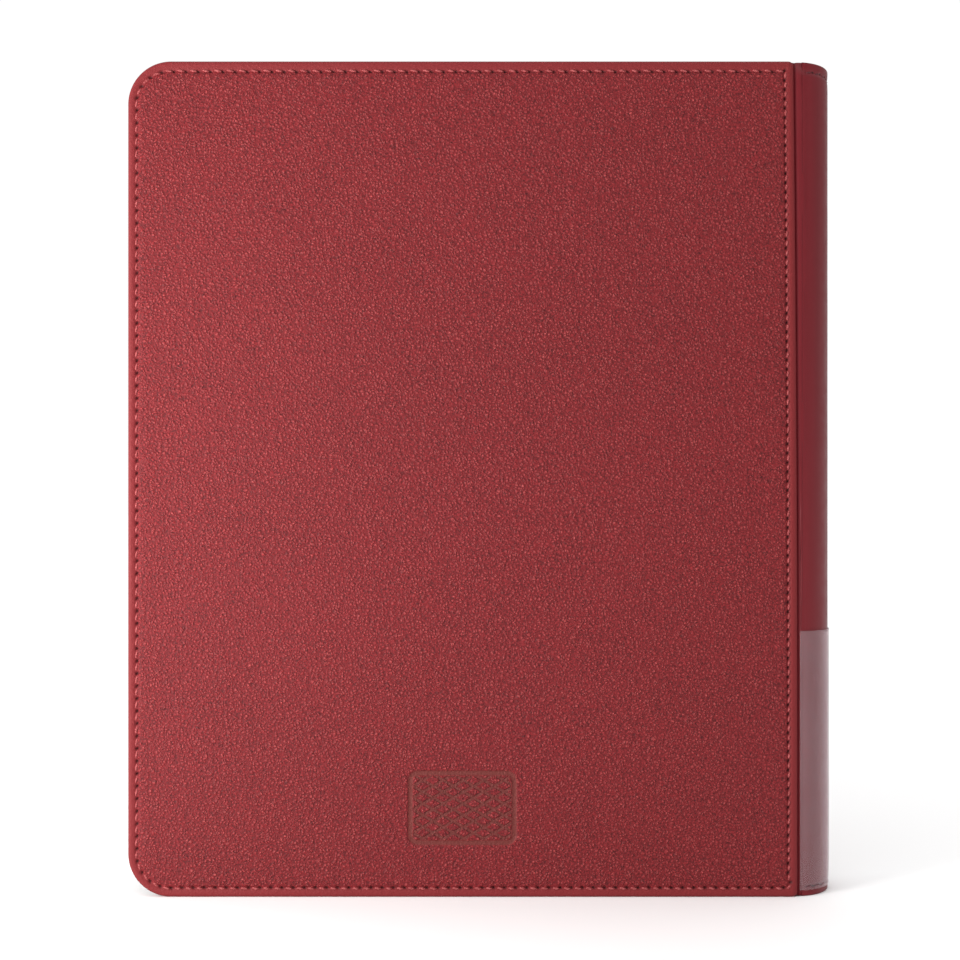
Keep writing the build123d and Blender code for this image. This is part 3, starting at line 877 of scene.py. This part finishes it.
# ---------------------------------------------------------------- covers
panel_mark = panel_mesh(seed=11, with_mark=True)
panel_plain = panel_mesh(seed=57, with_mark=False)
outer_places = cover_seam_places(0.42, -1.0, True)
inner_places = cover_seam_places(half_thickness + lining_inner_y - 0.18, 1.0, False)
hinge_leather_mesh = strip_mesh(hinge_path, 0.8, 0.35, height - 0.35, 60, wave=0.03, seed=5)
hinge_lining_mesh = strip_mesh(lambda z: lining_hinge_path(), 0.2, 1.7, height - 1.7, 30)
for side, front in (("back", False), ("front", True)):
    body = f"{side}_cover"
    verts, faces, attributes = panel_plain if front else panel_mark
    if front:
        verts, faces = mirrored(verts, faces)
    panel = new_object(f"{side}_panel", verts, faces, [grained], attributes=attributes)
    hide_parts(f"{side}_cover_skin")
    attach(panel, body)

    seam = stitches(f"{side}_seam_stitches", outer_places, thread, width=0.9, mirror=front)
    bobbin = stitches(f"{side}_bobbin_stitches", inner_places, thread, width=0.6, sink=0.25, mirror=front)
    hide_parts(f"{side}_cover_thread")
    for piece in (seam, bobbin):
        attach(piece, body)
    paint(f"{side}_cover_board", board)
    paint(f"{side}_cover_lining", lining_cloth)

    leather_mesh, lining_mesh = hinge_leather_mesh, hinge_lining_mesh
    if front:
        leather_mesh, lining_mesh = mirrored(*leather_mesh), mirrored(*lining_mesh)
    hinge = new_object(f"{side}_hinge_leather", *leather_mesh, [spine_leather])
    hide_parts(f"{side}_hinge_flap")
    gusset = new_object(f"{side}_hinge_lining", *lining_mesh, [lining_cloth])
    y = (hinge_y if front else -hinge_y) * MM
    for piece in (hinge, gusset):
        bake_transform(piece)

# ---------------------------------------------------------------- spine
verts, faces, attributes = spine_skin_mesh()
spine_skin = new_object("spine_leather", verts, faces, [spine_leather], attributes=attributes)
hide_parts("spine_skin")
verts, faces, attributes = label_film_mesh()
label = new_object("label_pocket", verts, faces, [label_film], attributes=attributes)
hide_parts("label_window")
head_places, _ = spine_stitch_places(spine_a - 0.36, spine_b - 0.36, spine_lo[0], height - spine_seam_inset)
foot_places, _ = spine_stitch_places(spine_a + 0.02, spine_b + 0.02, spine_lo[0], spine_seam_inset)
spine_seam = stitches("spine_seam_stitches", head_places + foot_places, spine_thread, width=0.62, sink=0.5)
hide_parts("spine_thread")
for piece in (spine_skin, label, spine_seam):
    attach(piece, "spine")
paint("spine_board", board)
paint("spine_lining", lining_cloth)

# ---------------------------------------------------------------- binding and pages
paint("page_margins", sheet_plastic)
paint("margin_spacers", spacer_plastic)
paint("binding_plates", plate_plastic)
paint("binding_rivets", steel)
paint("binding_tape", tape_cloth)
page_names = sorted(name for name in frame["bodies"] if name.startswith("page_"))
turn_places = {j["child"]: j["pos_m"] for j in frame["record"]["behaviour"]["joints"]}
for page in page_names:
    paint(f"{page}_sheet", sheet_plastic)
    paint(f"{page}_pockets", pocket_film)
    x, y = turn_places[page][0] / MM, turn_places[page][1] / MM
    path = [(x + t, y) for t in np.linspace(-0.9, stack_x - x + 0.9, 19)]
    lo, hi = box_mm(f"{page}_sheet")
    verts, faces = strip_mesh(lambda z: path, 0.34, lo[2] + 0.15, hi[2] - 0.15, 12)
    crease = new_object(f"{page}_crease", verts, faces, [sheet_plastic])
    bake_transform(crease)

# ---------------------------------------------------------------- floor, light and camera
floor_mesh = bpy.data.meshes.new("floor")
far = 60  # metres
floor_mesh.from_pydata([(-far, -far, 0), (far, -far, 0), (far, far, 0), (-far, far, 0)], [], [(0, 1, 2, 3)])
floor = bpy.data.objects.new("floor", floor_mesh)
bpy.context.scene.collection.objects.link(floor)
floor_paint = Nodes("pale_floor", 0.9, 0.1)
floor_mesh.materials.append(floor_paint.finish(colour(253, 253, 253)))


def area_light(name, place, aim, size, power, tint=(1, 1, 1)):
    data = bpy.data.lights.new(name, "AREA")
    data.shape = "RECTANGLE"
    data.size, data.size_y = size
    data.energy = power
    data.color = tint
    lamp = bpy.data.objects.new(name, data)
    lamp.location = place
    lamp.rotation_euler = (Vector(aim) - Vector(place)).to_track_quat("-Z", "Y").to_euler()
    bpy.context.scene.collection.objects.link(lamp)


area_light("key_left", (-0.47, -0.36, 0.14), (-0.05, 0, 0.14), (0.22, 0.4), 5.15, (1.0, 0.985, 0.97))

world = bpy.data.worlds.new("studio")
bpy.context.scene.world = world
world.use_nodes = True
sky = world.node_tree
background = sky.nodes["Background"]
background.inputs["Color"].default_value = (1, 1, 1, 1)
direction = sky.nodes.new("ShaderNodeTexCoord")
split = sky.nodes.new("ShaderNodeSeparateXYZ")
sky.links.new(direction.outputs["Generated"], split.inputs["Vector"])


def fade(axis, start, end, lo, hi):
    """World brightness along one axis."""
    node = sky.nodes.new("ShaderNodeMapRange")
    for key, value in (("From Min", start), ("From Max", end), ("To Min", lo), ("To Max", hi)):
        node.inputs[key].default_value = value
    sky.links.new(split.outputs[axis], node.inputs["Value"])
    return node.outputs["Result"]


# a white wall behind the object, a dimmer room around it, bright along the floor, and a soft ceiling light
# that is brightest straight above
dim, white = 0.38, 1.02
room = fade("Y", 0.6, 0.86, dim, white)
for start, end, lo, hi in ((0.0, 0.24, white, dim), (0.3, 0.8, dim, 1.25), (0.6, 1.0, dim, 1.75)):
    node = sky.nodes.new("ShaderNodeMath")
    node.operation = "MAXIMUM"
    sky.links.new(room, node.inputs[0])
    sky.links.new(fade("Z", start, end, lo, hi), node.inputs[1])
    room = node.outputs["Value"]
sky.links.new(room, background.inputs["Strength"])

camera_data = bpy.data.cameras.new("camera")
camera_data.sensor_width = 36
camera_data.lens = 53.25
camera_data.shift_y = 0.0333
camera_data.clip_start, camera_data.clip_end = 0.01, 200
camera = bpy.data.objects.new("camera", camera_data)
camera.location = (-0.0015, -0.58, 0.152)
camera.rotation_euler = (math.radians(90), 0, 0)
bpy.context.scene.collection.objects.link(camera)
bpy.context.scene.camera = camera
bpy.context.scene.view_settings.view_transform = "Standard"
